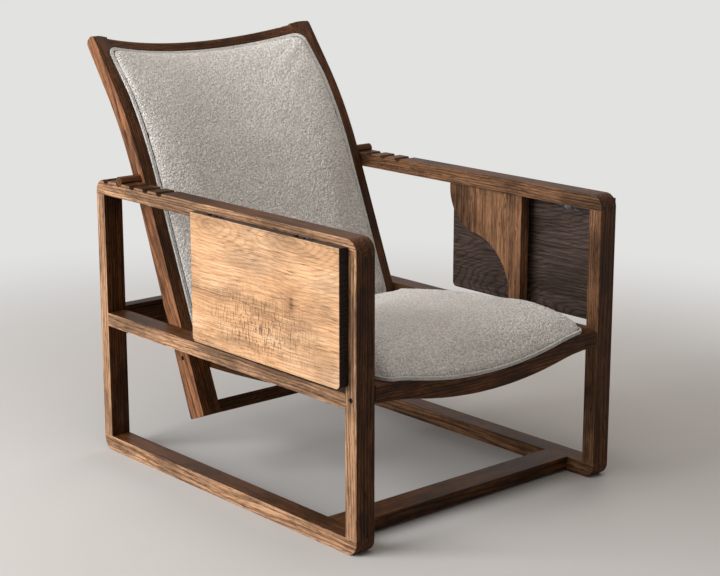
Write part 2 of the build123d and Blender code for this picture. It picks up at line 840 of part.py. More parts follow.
def bracket():
    """Left bracket: straight hinge edge, round belly above and hollow waist below."""
    def spot(reach, z):
        return (0, bracket_front + reach, z)
    waist_z = bracket_high - bracket_belly_height
    belly_reach = bracket_waist_reach + (bracket_reach - bracket_waist_reach) * belly_reach_share
    belly_z = waist_z + bracket_belly_height * belly_height_share
    hollow_reach = bracket_foot + (bracket_waist_reach - bracket_foot) * waist_reach_share
    hollow_z = bracket_low + (waist_z - bracket_low) * waist_height_share
    foot_top = bracket_low + bracket_foot_height
    outline = [
        Line(spot(0, bracket_low), spot(0, bracket_high)),
        Line(spot(0, bracket_high), spot(bracket_reach, bracket_high)),
        ThreePointArc(
            spot(bracket_reach, bracket_high), spot(belly_reach, belly_z),
            spot(bracket_waist_reach, waist_z)),
        ThreePointArc(
            spot(bracket_waist_reach, waist_z), spot(hollow_reach, hollow_z), spot(bracket_foot, foot_top)),
        Line(spot(bracket_foot, foot_top), spot(bracket_foot, bracket_low)),
        Line(spot(bracket_foot, bracket_low), spot(0, bracket_low))]
    half = bracket_thick / 2
    board = side_profile(outline, -bracket_axis_x - half, -bracket_axis_x + half)
    hinge_edge = board.edges().filter_by(Axis.Z).group_by(Axis.Y)[0]
    board = fillet(hinge_edge, edge_round)
    bore = pintle_diameter + 2 * running_clearance
    grip = pintle_length / 2
    board -= rod_z(bore, -bracket_axis_x, bracket_axis_y, bracket_high - grip, bracket_high + overrun)
    board -= rod_z(bore, -bracket_axis_x, bracket_axis_y, bracket_low - overrun, bracket_low + grip)
    return solid_of(board)


def bracket_pintles():
    """Upper and lower dowels, glued into the arm and the mid rail."""
    grip = pintle_length / 2
    play = 2 * running_clearance
    upper = rod_z(
        pintle_diameter, -bracket_axis_x, bracket_axis_y, bracket_high - grip + play, arm_underside + grip)
    lower = rod_z(
        pintle_diameter, -bracket_axis_x, bracket_axis_y, mid_rail_top - grip, bracket_low + grip - play)
    return [upper, lower]


# Upholstery

def cushion_section(y, floor, width, height, crown, bulge):
    """Closed section of the cushion at one Y: dished below, drawn-in sides, crowned above."""
    low, low_left, low_right = ogee_edges(y, width, floor, seat_dish)
    shoulder = width - bulge
    side_z = floor + height
    top_z = side_z + crown
    left = (-shoulder, y, side_z)
    right = (shoulder, y, side_z)
    mid_z = floor + height / 2
    return make_face(low + [
        ThreePointArc(low_left, (-width - bulge / 2, y, mid_z), left),
        ThreePointArc(left, (0, y, top_z), right),
        ThreePointArc(right, (width + bulge / 2, y, mid_z), low_right)])


def cushion_floor(y):
    """Level of the cushion's lower edge, just above the front rail and the deck."""
    return seat_line(y) + 2 * soft_gap


def seat_cushion():
    """Crowned seat cushion, rolled over at the front and eased down at the rear."""
    depth_shares = (0.0, 0.012, 0.03, 0.05, 0.083, 0.15, 0.24, 0.44, 0.75, 0.9, 0.98, 1.0)
    height_shares = (0.22, 0.43, 0.62, 0.74, 0.85, 0.93, 0.96, 1.0, 0.95, 0.86, 0.68, 0.5)
    crown_shares = (0.4, 0.6, 0.7, 0.8, 0.9, 1.0, 1.0, 1.0, 1.0, 0.9, 0.7, 0.5)
    sections = []
    for depth, high, crown in zip(depth_shares, height_shares, crown_shares):
        y = cushion_front + (cushion_rear - cushion_front) * depth
        sections.append(cushion_section(
            y, cushion_floor(y), cushion_half_width, cushion_side_height * high,
            cushion_crown * crown, cushion_side_bulge))
    return solid_of(loft(sections, ruled=True))


def pad_dish(along):
    """Depth of the back's hollow at mid-width: little at the lumbar rail, full at the top."""
    share = (along - pad_bottom_along) / (stile_length - pad_bottom_along)
    return pad_lumbar_dish + (top_rail_sag - pad_lumbar_dish) * share


def arc_across(plane, half, edge_behind, middle_behind):
    """An arc across the back on one of its square planes, and its two ends."""
    ends = [plane.from_local_coords((side * half, edge_behind, 0)) for side in (-1, 1)]
    middle = plane.from_local_coords((0, middle_behind, 0))
    return ThreePointArc(ends[0], middle, ends[1]), ends


def back_stations(start, end, extra):
    """Distances up the back for its sections: both ends, every turn of the shape, and extras."""
    bend = [stile_straight + bend_length * step / bend_steps for step in range(bend_steps + 1)]
    fades = [hollow_start(x) for x in (stile_inner, pad_side_width)]
    inner = [place for place in bend + fades + extra if start < place < end]
    return [start] + sorted(inner) + [end]


def pad_section(along, fullness):
    """Pad section: a crowned face, and behind it flanges on the stiles beside the hollow body."""
    plane = back_plane(along)
    flange_edge = stile_hollow(pad_side_width, along) - soft_gap
    flange_root = stile_hollow(stile_inner, along) - soft_gap
    face_edge = flange_edge - pad_edge_thick
    face_middle = pad_dish(along) - soft_gap - pad_edge_thick - pad_crown * fullness
    face, face_ends = arc_across(plane, pad_side_width, face_edge, face_middle)
    body, body_ends = arc_across(plane, stile_inner - soft_gap, flange_root, pad_dish(along) - soft_gap)
    rim = hollow_rim(along)
    flange_rim = stile_hollow(rim, along) - soft_gap
    corners = [plane.from_local_coords((side * pad_side_width, flange_edge, 0)) for side in (-1, 1)]
    rims = [plane.from_local_coords((side * rim, flange_rim, 0)) for side in (-1, 1)]
    return make_face([
        face, Line(face_ends[0], corners[0]), Line(corners[0], rims[0]), Line(rims[0], body_ends[0]),
        body, Line(body_ends[1], rims[1]), Line(rims[1], corners[1]), Line(corners[1], face_ends[1])])


def pad_fullness(along, start, end):
    """Share of the full crown: rising quickly from both ends of the pad."""
    share = min(along - start, end - along, pad_roll) / pad_roll
    return pad_end_fullness + (1 - pad_end_fullness) * (1 - (1 - share) ** 2)


def back_pad():
    """Upholstered back: hollow from side to side, with a crowned face and thin welted edges."""
    start, end = pad_bottom_along, stile_length - pad_top_below
    rolls = [pad_roll * step / roll_steps for step in range(1, roll_steps + 1)]
    extra = [start + roll for roll in rolls] + [end - roll for roll in rolls]
    sections = [
        pad_section(along, pad_fullness(along, start, end))
        for along in back_stations(start, end, extra)]
    return solid_of(loft(sections, ruled=True))


def lining_section(along):
    plane = back_plane(along)
    half = stile_inner - lining_side_gap
    edge = stile_hollow(stile_inner, along) + soft_gap
    middle = pad_dish(along) + soft_gap
    front, front_ends = arc_across(plane, half, edge, middle)
    rear, rear_ends = arc_across(plane, half, edge + lining_thick, middle + lining_thick)
    return make_face([front, rear, Line(front_ends[0], rear_ends[0]), Line(front_ends[1], rear_ends[1])])


def back_lining():
    """Cloth-covered webbing behind the pad, between the stiles and the lumbar and top rails."""
    top = stile_length - top_rail_height - soft_gap
    sections = [lining_section(along) for along in back_stations(lumbar_rail_along, top, [])]
    return solid_of(loft(sections, ruled=True))


# Assembly

def both_sides(name, part):
    return {name + "_left": [part], name + "_right": [mirrored(part)]}


def all_nodes():
    nodes = {}
    nodes.update(both_sides("front_leg", front_leg()))
    nodes.update(both_sides("rear_leg", rear_leg()))
    nodes.update(both_sides("arm_rail", arm_rail()))
    nodes.update(both_sides("mid_rail", mid_rail()))
    nodes.update(both_sides("floor_runner", runner()))
    nodes["front_stretcher"] = [front_stretcher()]
    nodes["rear_cross_rail"] = [rear_cross_rail()]
    nodes["seat_front_rail"] = [seat_front_rail()]
    nodes.update(both_sides("seat_side_rail", seat_side_rail()))
    nodes["seat_rear_rail"] = [seat_rear_rail()]
    nodes["seat_deck"] = [seat_deck()]
    nodes["seat_cushion"] = [seat_cushion()]
    nodes.update(both_sides("back_stile", back_stile()))
    nodes["back_top_rail"] = [top_rail()]
    nodes["back_lumbar_rail"] = [lumbar_rail()]
    nodes["back_bottom_rail"] = [bottom_rail()]
    nodes.update(both_sides("notch_peg", notch_peg()))
    nodes["back_lining"] = [back_lining()]
    nodes["back_pad"] = [back_pad()]
    nodes["seat_pivot_pins"] = [front_pin(-1), front_pin(1)]
    nodes["seat_pivot_washers"] = front_washers()
    nodes["back_pivot_pins"] = [rear_pin(-1), rear_pin(1)]
    nodes["back_pivot_washers"] = rear_washers()
    nodes.update(both_sides("table_leaf", table_leaf()))
    for place, centre in zip(("front", "rear"), hinge_centres):
        nodes.update(both_sides(f"hinge_arm_plate_{place}", hinge_frame_plate(centre)))
        nodes.update(both_sides(f"hinge_leaf_plate_{place}", hinge_leaf_plate(centre)))
        nodes.update(both_sides(f"hinge_pin_{place}", hinge_pin(centre)))
    nodes["arm_plate_screws_left"] = frame_screws()
    nodes["arm_plate_screws_right"] = [mirrored(one) for one in frame_screws()]
    nodes["leaf_plate_screws_left"] = leaf_screws()
    nodes["leaf_plate_screws_right"] = [mirrored(one) for one in leaf_screws()]
    nodes.update(both_sides("leaf_bracket", bracket()))
    nodes["bracket_pintles_left"] = bracket_pintles()
    nodes["bracket_pintles_right"] = [mirrored(one) for one in bracket_pintles()]
    return nodes


def main():
    os.makedirs("parts", exist_ok=True)
    nodes = all_nodes()
    boxes = [part.bounding_box() for parts in nodes.values() for part in parts]
    shift = -(min(box.min.Y for box in boxes) + max(box.max.Y for box in boxes)) / 2
    for name, parts in nodes.items():
        placed = [Pos(0, shift, 0) * part for part in parts]
        result = placed[0] if len(placed) == 1 else Compound(children=placed)
        export_step(result, os.path.join("parts", name + ".step"))
    y, z = back_pivot()
    print("seat pivot", seat_pivot_y + shift, seat_pivot_z)
    print("back pivot", y + shift, z)
    print("notches", [round(v + shift, 3) for v in notch_places()], peg_centre()[1])
    print("hinge line", hinge_x, hinge_z)
    print("bracket axis", bracket_axis_x, bracket_axis_y + shift)


main()
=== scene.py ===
import math

import bmesh
import bpy
import numpy as np
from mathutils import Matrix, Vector


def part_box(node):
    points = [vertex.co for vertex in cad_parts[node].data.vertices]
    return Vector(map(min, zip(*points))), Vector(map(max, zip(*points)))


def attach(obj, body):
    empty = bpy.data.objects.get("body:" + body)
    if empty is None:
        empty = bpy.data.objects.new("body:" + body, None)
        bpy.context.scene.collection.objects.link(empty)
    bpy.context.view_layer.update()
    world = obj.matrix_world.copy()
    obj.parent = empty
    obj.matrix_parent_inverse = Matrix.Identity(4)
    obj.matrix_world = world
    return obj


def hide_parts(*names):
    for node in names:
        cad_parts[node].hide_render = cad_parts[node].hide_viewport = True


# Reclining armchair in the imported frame. The wood and metal are the frame's own solids with
# procedural materials; the seat cushion, the back pad and their piping are made here.
# Lengths are in metres, and depths are measured from the front of the legs.

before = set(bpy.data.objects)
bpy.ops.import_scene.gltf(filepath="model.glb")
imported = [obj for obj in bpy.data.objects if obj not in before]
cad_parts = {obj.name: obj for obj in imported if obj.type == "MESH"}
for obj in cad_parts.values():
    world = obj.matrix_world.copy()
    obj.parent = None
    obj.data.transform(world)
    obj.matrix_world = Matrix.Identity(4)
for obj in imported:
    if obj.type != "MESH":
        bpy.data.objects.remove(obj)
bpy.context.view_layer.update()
MM = 0.001
front_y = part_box("front_leg_left")[0][1]

# The back's bent line: the front face of its stiles, hollowed across towards the top rail
STILE_Y = front_y + 508.3 * MM
STILE_Z = 124.0 * MM
LEAN = math.radians(22.3)
STRAIGHT = 481.0 * MM
BEND_RADIUS = 780.0 * MM
BEND = BEND_RADIUS * math.radians(14.5)
STILE_LENGTH = STRAIGHT + BEND + 119.0 * MM
STILE_INNER = 235.0 * MM
TOP_SAG = 56.0 * MM
TOP_HALF = 275.0 * MM
TOP_RADIUS = (TOP_HALF ** 2 + TOP_SAG ** 2) / (2 * TOP_SAG)
SCOOP_RATE = 0.0765
LUMBAR_DISH = 14.0 * MM

# Back pad
PAD_START = 150.0 * MM
PAD_END = STILE_LENGTH - 27.0 * MM
PAD_HALF = 252.0 * MM
PAD_CORNER = 20.0 * MM
PAD_LIFT = 3.0 * MM
PAD_EDGE = 24.0 * MM
PAD_CROWN = 9.0 * MM
PAD_ROLL = 95.0 * MM
PAD_GAP = 0.8 * MM

# Seat cushion, on a dished front rail and a deck that falls to the rear
SEAT_FRONT = front_y + 5.0 * MM
SEAT_REAR = front_y + 530.0 * MM
SEAT_HALF = 251.0 * MM
SEAT_CORNER = 18.0 * MM
SEAT_LEVEL = 301.6 * MM
SEAT_FALL_START = front_y + 28.0 * MM
SEAT_FALL = 0.0874
SEAT_RISE = 54.0 * MM
SEAT_EDGE = 9.0 * MM
SEAT_GAP = 0.4 * MM
DISH_DEPTH = 31.0 * MM
DISH_HALF = 273.0 * MM
DISH_TURN = 0.68

# Its rolled edges, each a run and a power, and the way its top sinks towards the rear
FRONT_ROLL = (130.0 * MM, 3.0)
SIDE_ROLL = (42.0 * MM, 3.0)
REAR_ROLL = (50.0 * MM, 2.6)
DROP_START = 235.0 * MM
DROP_RUN = 290.0 * MM
DROP_SHARE = 0.34

# Piping: two cords side by side, pressed flat, with a groove between them
WELT_WIDTH = 8.0 * MM
WELT_THICK = 5.0 * MM
WELT_LAP = 3.0 * MM
WELT_GAP = 0.2 * MM
WELT_SIDES = 20
GROOVE_DEPTH = 0.5
GROOVE_WIDTH = 0.2
WELT_SQUARENESS = 0.6

# Cushion meshes: rings from the rim inwards in millimetres, remeshing, air, and wool loops
RING_INSETS = [0, 2, 5, 9, 14, 20, 28, 38, 52, 70, 95, 125, 160, 200, 236]
VOXEL = 5.0 * MM
EDGE_FULLNESS = 0.625
CORNER_SHRINK = 0.6
LEAST_CORNER = 0.4 * MM
PUFF_STEPS = 20
PUFF_LIMIT = 6.0 * MM
HELD_RIM = 7.0 * MM
HELD_REAR = 4.0 * MM
LOOP_SIZE = 6.0 * MM
LOOP_HEIGHT = 1.5 * MM


# Geometry of the back

def back_angle(along):
    return LEAN + min(max(along - STRAIGHT, 0), BEND) / BEND_RADIUS


def back_point(x, along, behind):
    """A point on the back: across, up the stiles' front face, and behind that face."""
    angle = back_angle(along)
    straight = min(along, STRAIGHT)
    past = max(along - STRAIGHT - BEND, 0)
    bent_y = BEND_RADIUS * (math.cos(LEAN) - math.cos(angle))
    bent_z = BEND_RADIUS * (math.sin(angle) - math.sin(LEAN))
    y = STILE_Y + straight * math.sin(LEAN) + bent_y + past * math.sin(angle)
    z = STILE_Z + straight * math.cos(LEAN) + bent_z + past * math.cos(angle)
    return Vector((x, y + behind * math.cos(angle), z - behind * math.sin(angle)))


def back_place(point):
    """The reverse of back_point, by stepping up the back until the point is square to it."""
    along = (point[2] - STILE_Z) / math.cos(LEAN)
    for _ in range(6):
        angle = back_angle(along)
        offset = Vector(point) - back_point(0, along, 0)
        along += offset.y * math.sin(angle) + offset.z * math.cos(angle)
    angle = back_angle(along)
    offset = Vector(point) - back_point(0, along, 0)
    return point[0], along, offset.y * math.cos(angle) - offset.z * math.sin(angle)


def face_hollow(x, along):
    """How far the stiles' front face is hollowed out at a place on the back."""
    into_bend = min(max(STRAIGHT + BEND - along, 0), BEND)
    faded = SCOOP_RATE * (STILE_LENGTH - along) + into_bend ** 2 / (2 * BEND_RADIUS)
    full = math.sqrt(TOP_RADIUS ** 2 - min(abs(x), TOP_HALF) ** 2) - TOP_RADIUS + TOP_SAG
    return max(full - faded, 0)


def middle_dish(along):
    share = (along - PAD_START) / (STILE_LENGTH - PAD_START)
    return LUMBAR_DISH + (TOP_SAG - LUMBAR_DISH) * share


def pad_rear(x, along):
    """Depth of the pad's rear face: flat on the stiles, then hollow between them."""
    root = face_hollow(min(abs(x), PAD_HALF), along)
    if abs(x) < STILE_INNER:
        root = face_hollow(STILE_INNER, along)
        root += (middle_dish(along) - root) * (1 - (x / STILE_INNER) ** 2)
    return root - PAD_GAP


def eased(distance, run, power):
    """0 at an edge and 1 from a run inside it, steep at first like a filled edge."""
    share = min(max(distance / run, 0), 1)
    return (1 - (1 - share) ** power) ** EDGE_FULLNESS


def pad_front(x, along, inset):
    """Depth of the pad's face: an edge roll all round, then a crown on the hollow."""
    edge = face_hollow(PAD_HALF, along) - PAD_LIFT - PAD_EDGE * eased(inset, PAD_ROLL, 2.2)
    from_end = min(along - PAD_START, PAD_END - along)
    crown = PAD_CROWN * eased(from_end, PAD_ROLL, 2.0) * (1 - abs(x / PAD_HALF) ** 3)
    hollow = (middle_dish(along) - face_hollow(PAD_HALF, along)) * (1 - (x / PAD_HALF) ** 2)
    return edge - crown + hollow


# Geometry of the seat

def seat_line(y):
    return SEAT_LEVEL - SEAT_FALL * max(y - SEAT_FALL_START, 0)


def seat_floor(x, y):
    """Underside of the cushion: a shallow S-curved dish across the chair."""
    far = min(abs(x), DISH_HALF)
    turn = DISH_HALF * DISH_TURN
    if far >= turn:
        outer = (DISH_HALF - far) / (DISH_HALF - turn)
        return seat_line(y) - DISH_DEPTH * (1 - DISH_TURN) * outer ** 2
    return seat_line(y) - DISH_DEPTH * (1 - DISH_TURN * (far / turn) ** 2)


def seat_top(x, y):
    """Top of the cushion: level across, rolled at the front, eased at the sides and the rear."""
    front = eased(y - SEAT_FRONT, *FRONT_ROLL)
    side = eased(SEAT_HALF - abs(x), *SIDE_ROLL)
    rear = eased(SEAT_REAR - y, *REAR_ROLL)
    behind = max(y - SEAT_FRONT - DROP_START, 0) / DROP_RUN
    full = seat_line(y) + SEAT_RISE * (1 - DROP_SHARE * behind ** 2)
    start = seat_floor(x, y) + SEAT_EDGE
    return start + (full - start) * front * side * rear


# Meshes

def rounded_ring(half, low, high, radius, inset, corner_steps=8, side_steps=44, end_steps=36):
    """Points round a rounded rectangle, with the same count at every inset."""
    half, low, high = half - inset, low + inset, high - inset
    radius = max(radius - inset * CORNER_SHRINK, LEAST_CORNER)
    corners = [
        (half - radius, high - radius, 0, end_steps),
        (radius - half, high - radius, 90, side_steps),
        (radius - half, low + radius, 180, end_steps),
        (half - radius, low + radius, 270, side_steps)]
    points = []
    for i, (cx, cy, turn, steps) in enumerate(corners):
        for k in range(corner_steps):
            angle = math.radians(turn + 90 * k / corner_steps)
            points.append(Vector((cx + radius * math.cos(angle), cy + radius * math.sin(angle))))
        last = math.radians(turn + 90)
        reach = radius * Vector((math.cos(last), math.sin(last)))
        start = Vector((cx, cy)) + reach
        end = Vector(corners[(i + 1) % 4][:2]) + reach
        points += [start.lerp(end, k / steps) for k in range(steps)]
    return points


def linked(name, bm):
    """A new object in the scene from a bmesh, with its faces turned outwards."""
    bmesh.ops.recalc_face_normals(bm, faces=bm.faces)
    mesh = bpy.data.meshes.new(name)
    bm.to_mesh(mesh)
    bm.free()
    mesh.shade_smooth()
    obj = bpy.data.objects.new(name, mesh)
    bpy.context.collection.objects.link(obj)
    return obj


def bridged(bm, first, second):
    count = len(first)
    for i in range(count):
        j = (i + 1) % count
        bm.faces.new([first[i], first[j], second[j], second[i]])


def closed_pad(name, ring_at, face, underside):
    """Closed cushion between two surfaces over nested rounded rings."""
    bm = bmesh.new()
    layers = []
    for surface in (face, underside):
        rings = [[bm.verts.new(surface(*point, inset * MM)) for point in ring_at(inset * MM)]
                 for inset in RING_INSETS]
        for outer, inner in zip(rings, rings[1:]):
            bridged(bm, outer, inner)
        bm.faces.new(rings[-1])
        layers.append(rings[0])
    bridged(bm, *layers)
    return linked(name, bm)


def piping(name, path, outwards):
    """Double piping: two flat cords with a groove between them, round a closed path."""
    bm = bmesh.new()
    rings = []
    for i, point in enumerate(path):
        tangent = (path[(i + 1) % len(path)] - path[i - 1]).normalized()
        up = outwards[i].normalized()
        across = tangent.cross(up).normalized()
        ring = []
        for k in range(WELT_SIDES):
            angle = 2 * math.pi * k / WELT_SIDES
            wide, high = math.cos(angle), math.sin(angle)
            groove = 1 - GROOVE_DEPTH * math.exp(-(wide / GROOVE_WIDTH) ** 2)
            bulge = math.copysign(abs(high) ** WELT_SQUARENESS, high) * groove
            place = point + across * wide * WELT_WIDTH / 2 + up * bulge * WELT_THICK / 2
            ring.append(bm.verts.new(place))
        rings.append(ring)
    for i, ring in enumerate(rings):
        bridged(bm, ring, rings[(i + 1) % len(rings)])
    return linked(name, bm)


def evaluated_mesh(obj):
    graph = bpy.context.evaluated_depsgraph_get()
    return bpy.data.meshes.new_from_object(obj.evaluated_get(graph))


def remeshed(obj):
    """Gives the object an even skin of small faces."""
    modifier = obj.modifiers.new("remesh", "REMESH")
    modifier.mode = "VOXEL"
    modifier.voxel_size = VOXEL
    mesh = evaluated_mesh(obj)
    obj.modifiers.clear()
    obj.data = mesh


def coordinates(mesh):
    flat = np.empty(len(mesh.vertices) * 3)
    mesh.vertices.foreach_get("co", flat)
    return flat.reshape(-1, 3)


def puffed(obj, is_held, pressure):
    """Cloth with air inside: the held points stay, and no point moves past the limit."""
    start = coordinates(obj.data)
    group = obj.vertex_groups.new(name="held")
    group.add([i for i, point in enumerate(start) if is_held(point)], 1.0, "REPLACE")
    cloth = obj.modifiers.new("cloth", "CLOTH")
    settings = cloth.settings
    settings.quality = 5
    settings.mass = 0.3
    settings.tension_stiffness = 20
    settings.compression_stiffness = 20
    settings.bending_stiffness = 2
    settings.use_pressure = True
    settings.uniform_pressure_force = pressure
    settings.effector_weights.gravity = 0
    settings.vertex_group_mass = group.name
    cloth.point_cache.frame_end = PUFF_STEPS
    for step in range(1, PUFF_STEPS + 1):
        bpy.context.scene.frame_set(step)
    moved = coordinates(evaluated_mesh(obj)) - start
    bpy.context.scene.frame_set(1)
    obj.modifiers.clear()
    obj.vertex_groups.clear()
    length = np.linalg.norm(moved, axis=1, keepdims=True)
    moved *= np.minimum(1, PUFF_LIMIT / np.maximum(length, MM * MM))
    obj.data.vertices.foreach_set("co", (start + moved).ravel())
    obj.data.update()


def nubbed(obj):
    """Evens out the voxel steps, subdivides once and raises the cloth's loops."""
    smooth = obj.modifiers.new("smooth", "CORRECTIVE_SMOOTH")
    smooth.iterations = 8
    smooth.use_only_smooth = True
    level = obj.modifiers.new("surface", "SUBSURF")
    level.levels = level.render_levels = 1
    loops = bpy.data.textures.new(obj.name + "_loops", "VORONOI")
    loops.noise_scale = LOOP_SIZE
    loops.noise_intensity = 1.0
    raised = obj.modifiers.new("loops", "DISPLACE")
    raised.texture = loops
    raised.texture_coords = "LOCAL"
    raised.strength = -LOOP_HEIGHT
    raised.mid_level = 0.4
    obj.data.shade_smooth()


def back_pad():
    inner = WELT_WIDTH - WELT_LAP

    def ring_at(inset):
        return rounded_ring(
            PAD_HALF - inner, PAD_START + inner, PAD_END - inner, PAD_CORNER, inset)

    def face(x, along, inset):
        return back_point(x, along, pad_front(x, along, inset))

    def underside(x, along, _):
        return back_point(x, along, pad_rear(x, along))

    return closed_pad("back_cushion", ring_at, face, underside)


def is_pad_held(point):
    """The pad is fixed round its seam and against the lining."""
    x, along, behind = back_place(point)
    rim = min(PAD_HALF - abs(x), along - PAD_START, PAD_END - along) - WELT_WIDTH
    return rim < HELD_RIM or behind > pad_rear(x, along) - HELD_REAR


def pad_piping():
    half_welt = WELT_WIDTH / 2
    ring = rounded_ring(
        PAD_HALF - half_welt, PAD_START + half_welt, PAD_END - half_welt, PAD_CORNER, 0,
        corner_steps=10, side_steps=60, end_steps=40)
    path = [back_point(x, along, face_hollow(x, along) - WELT_THICK / 2 - WELT_GAP)
            for x, along in ring]
    angles = [back_angle(along) for _, along in ring]
    outwards = [Vector((0, -math.cos(angle), math.sin(angle))) for angle in angles]
    return piping("back_cushion_piping", path, outwards)


def seat_cushion():
    def ring_at(inset):
        return rounded_ring(SEAT_HALF, SEAT_FRONT, SEAT_REAR, SEAT_CORNER, inset)

    def face(x, y, _):
        return Vector((x, y, seat_top(x, y)))

    def underside(x, y, _):
        return Vector((x, y, seat_floor(x, y) + SEAT_GAP))

    return closed_pad("seat_pad", ring_at, face, underside)


def is_seat_held(point):
    """The cushion is fixed round its lower edge and underneath."""
    return point[2] - seat_floor(point[0], point[1]) < HELD_RIM


def seat_piping():
    ring = rounded_ring(SEAT_HALF, SEAT_FRONT, SEAT_REAR, SEAT_CORNER, 0,
                        corner_steps=10, side_steps=60, end_steps=60)
    path = [Vector((x, y, seat_floor(x, y) + WELT_WIDTH / 2)) for x, y in ring]
    outwards = []
    for i in range(len(path)):
        run = path[(i + 1) % len(path)] - path[i - 1]
        outwards.append(Vector((run.y, -run.x, 0)))
    return piping("seat_pad_piping", path, outwards)


# Material nodes

def new_material(name):
    material = bpy.data.materials.new(name)
    material.use_nodes = True
    return material, material.node_tree, material.node_tree.nodes["Principled BSDF"]


def set_input(tree, socket, value):
    """Links a socket, or writes a plain value, with full opacity for a colour."""
    if isinstance(value, bpy.types.NodeSocket):
        tree.links.new(value, socket)
    elif isinstance(value, tuple) and socket.type == "RGBA":
        socket.default_value = (*value, 1.0)
    else:
        socket.default_value = value


def node(tree, kind, inputs=None, output=0, **properties):
    """A new shader node with its properties and inputs set; returns one output socket."""
    made = tree.nodes.new(kind)
    for key, value in properties.items():
        setattr(made, key, value)
    for key, value in (inputs or {}).items():
        set_input(tree, made.inputs[key], value)
    return made.outputs[output]


def calc(tree, operation, *values):
    return node(tree, "ShaderNodeMath", dict(enumerate(values)), operation=operation)


def blend(tree, share, first, second, mode="MIX"):
    return node(tree, "ShaderNodeMix", {0: share, 6: first, 7: second}, output=2,
                data_type="RGBA", blend_type=mode)


def fade(tree, value, low, high, start=0.0, end=1.0):
    """Start below low, end above high, and a smooth change between."""
    return node(tree, "ShaderNodeMapRange", {
        "Value": value, "From Min": low, "From Max": high, "To Min": start, "To Max": end},
        interpolation_type="SMOOTHSTEP")


def shifted(tree, vector, place):
    return node(tree, "ShaderNodeVectorMath", {0: vector, 1: place}, operation="SUBTRACT")


def added(tree, vector, step):
    return node(tree, "ShaderNodeVectorMath", {0: vector, 1: step}, operation="ADD")


def scaled(tree, vector, factors):
    """The vector times one factor, or times one for each axis."""
    if not isinstance(factors, tuple):
        factors = (factors,) * 3
    return node(tree, "ShaderNodeVectorMath", {0: vector, 1: factors}, operation="MULTIPLY")


def length_of(tree, vector):
    return node(tree, "ShaderNodeVectorMath", {0: vector}, output=1, operation="LENGTH")


def noise(tree, vector, fineness, detail=3.0, rough=0.55, output=0):
    """Cloudy noise, with its fineness per metre for all axes or for each."""
    return node(tree, "ShaderNodeTexNoise", {
        "Vector": scaled(tree, vector, fineness), "Scale": 1.0, "Detail": detail,
        "Roughness": rough}, output=output)


def drift(tree, vector, fineness, detail, amounts):
    """A vector that wanders round zero, by up to half of each amount."""
    wander = noise(tree, vector, fineness, detail, output=1)
    return scaled(tree, shifted(tree, wander, (0.5, 0.5, 0.5)), amounts)


def object_place(tree):
    return node(tree, "ShaderNodeTexCoord", output=3)


def dot(tree, first, second):
    return node(tree, "ShaderNodeVectorMath", {0: first, 1: second}, output=1,
                operation="DOT_PRODUCT")


def facing(tree, direction):
    """How squarely the surface faces a direction of the object, 1 or less."""
    normal = node(tree, "ShaderNodeTexCoord", output=1)
    return dot(tree, normal, direction)


def split(tree, vector, axis):
    return node(tree, "ShaderNodeSeparateXYZ", {0: vector}, output="XYZ".index(axis))


def relief(tree, height, strength, distance):
    return node(tree, "ShaderNodeBump", {
        "Strength": strength, "Distance": distance, "Height": height})


# Wood

GRAIN_TURN = {
    "x": (0, 0, 0), "y": (0, 0, -math.pi / 2), "z": (0, math.pi / 2, 0),
    "stile": (math.radians(27), math.pi / 2, 0)}


def grain_place(tree, axis, seed):
    """Object coordinates turned so that X runs along the grain, moved away from the pith."""
    pith = (seed * 1.7, 0.07 + seed * 0.37 % 0.09, 0.06 + seed * 0.61 % 0.08)
    return node(tree, "ShaderNodeMapping", {
        "Vector": object_place(tree), "Rotation": GRAIN_TURN[axis], "Location": pith})


def swayed(tree, vector, amount):
    """Grain that wanders slowly from side to side."""
    step = drift(tree, vector, (2.5, 10.0, 10.0), 2.0, (0.0, amount, amount))
    return added(tree, vector, step)


def across_grain(tree, vector):
    return length_of(tree, scaled(tree, vector, (0.0, 1.0, 1.0)))


def growth_rings(tree, vector, distance, pitch):
    """0 on the dark line of each year's growth and 1 between, by the distance from the pith."""
    uneven = calc(tree, "MULTIPLY", noise(tree, vector, (2.0, 22.0, 22.0), 4.0, 0.6), 4.0)
    turns = calc(tree, "MULTIPLY_ADD", distance, 1 / pitch, uneven)
    phase = calc(tree, "FRACT", turns)
    return calc(tree, "MINIMUM", fade(tree, phase, 0.0, 0.5), fade(tree, phase, 1.0, 0.86))


def oak_figure(tree, vector, ring_shade):
    """Tone of the bare oak, 0 dark to 1 light, and the mask of its open pores."""
    streak = noise(tree, vector, (5.0, 190.0, 190.0), 5.0, 0.65)
    fibre = noise(tree, vector, (40.0, 900.0, 900.0), 3.0, 0.6)
    dash = noise(tree, vector, (45.0, 620.0, 620.0), 2.0, 0.5)
    pores = fade(tree, dash, 0.58, 0.68)
    tone = calc(tree, "MULTIPLY", fade(tree, streak, 0.36, 0.64), 0.34)
    tone = calc(tree, "MULTIPLY_ADD", fade(tree, fibre, 0.34, 0.66), 0.28, tone)
    tone = calc(tree, "MULTIPLY_ADD", ring_shade, 0.38, tone)
    return calc(tree, "POWER", tone, 1.6), pores


